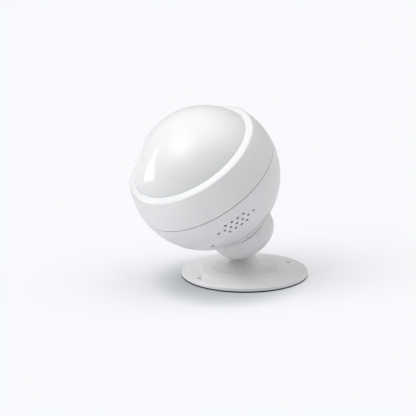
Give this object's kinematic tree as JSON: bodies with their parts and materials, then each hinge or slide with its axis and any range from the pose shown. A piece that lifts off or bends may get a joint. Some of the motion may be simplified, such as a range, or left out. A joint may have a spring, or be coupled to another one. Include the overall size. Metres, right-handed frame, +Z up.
{
  "type": "smart speaker",
  "caption": "Ball-shaped white smart speaker with an opal light dome and ring, on a ball joint with a locking collar and a round stand.",
  "frame": {"origin": "centre of the stand's underside, on the surface it stands on", "axes": "+Z up, out through the ball joint; the head leans 35 degrees from upright towards -Y; the stand's two screw holes lie along Y"},
  "size_m": [0.084, 0.1029, 0.1011],
  "materials": {
    "stand_white": "satin",
    "casing_white": "satin, fine moulded texture",
    "opal_dome": "polished opal",
    "ring_diffuser": "opal, faintly lit",
    "pad_rubber": "matt",
    "seal_rubber": "matt",
    "ball_steel": "satin",
    "screw_steel": "zinc plated",
    "sleeve_nylon": "smooth nylon",
    "board_white": "white solder resist",
    "reflector_white": "smooth",
    "led_lens": "clear over phosphor",
    "chassis_grey": "moulded",
    "board_green": "solder resist",
    "shield_metal": "tinned",
    "chip_black": "moulded",
    "battery_wrap": "shrink wrap",
    "strap_foam": "closed foam",
    "basket_steel": "black coat",
    "cone_paper": "pressed paper",
    "magnet_dark": "ferrite",
    "mesh_fabric": "woven mesh"
  },
  "bodies": {
    "base": {"base_plate": "stand_white", "base_pad": "pad_rubber", "ball_stud": "ball_steel", "stud_washer": "screw_steel", "stud_screw": "screw_steel"},
    "socket": {"ball_sleeve": "sleeve_nylon"},
    "seat": {"upper_seat": "sleeve_nylon", "lower_seat": "sleeve_nylon"},
    "head": {"rear_housing": "casing_white", "front_housing": "casing_white", "neck_ring": "casing_white", "dome_diffuser": "opal_dome", "light_ring": "ring_diffuser", "dome_seal": "seal_rubber", "light_board": "board_white", "light_baffle": "reflector_white", "dome_leds": "led_lens", "ring_leds": "led_lens", "light_board_screws": "screw_steel", "chassis": "chassis_grey", "chassis_screws": "screw_steel", "main_board": "board_green", "board_screws": "screw_steel", "wireless_module": "shield_metal", "amplifier_chip": "chip_black", "microphones": "shield_metal", "board_link": "chip_black", "battery_pack": "battery_wrap", "battery_strap": "strap_foam", "socket_board": "board_green", "usb_socket": "shield_metal", "speaker_frame": "basket_steel", "speaker_cone": "cone_paper", "speaker_surround": "seal_rubber", "speaker_magnet": "magnet_dark", "speaker_gasket": "strap_foam", "dust_mesh": "mesh_fabric", "speaker_screws": "screw_steel", "button_switch": "chip_black"},
    "collar": {"locking_collar": "casing_white"},
    "button": {"pair_button": "casing_white"}
  },
  "joints": [
    {"name": "base_swivel", "type": "hinge", "parent": "base", "child": "socket", "pos_m": [0, 0, 0.024], "axis": [0, 0, 1], "continuous": true},
    {"name": "head_tilt", "type": "hinge", "parent": "socket", "child": "seat", "pos_m": [0, 0, 0.024], "axis": [1, 0, 0], "range_deg": [-70, 0]},
    {"name": "head_spin", "type": "hinge", "parent": "seat", "child": "head", "pos_m": [0, 0, 0.024], "axis": [0, -0.5736, 0.8192], "continuous": true},
    {"name": "collar_turn", "type": "hinge", "parent": "head", "child": "collar", "pos_m": [0, 0, 0.024], "axis": [0, -0.5736, 0.8192], "range_deg": [0, 90]},
    {"name": "pair_press", "type": "slide", "parent": "head", "child": "button", "axis": [0.6686, -0.5942, 0.4472], "range_m": [0, 0.0006], "stiffness_N_per_m": 900}
  ]
}
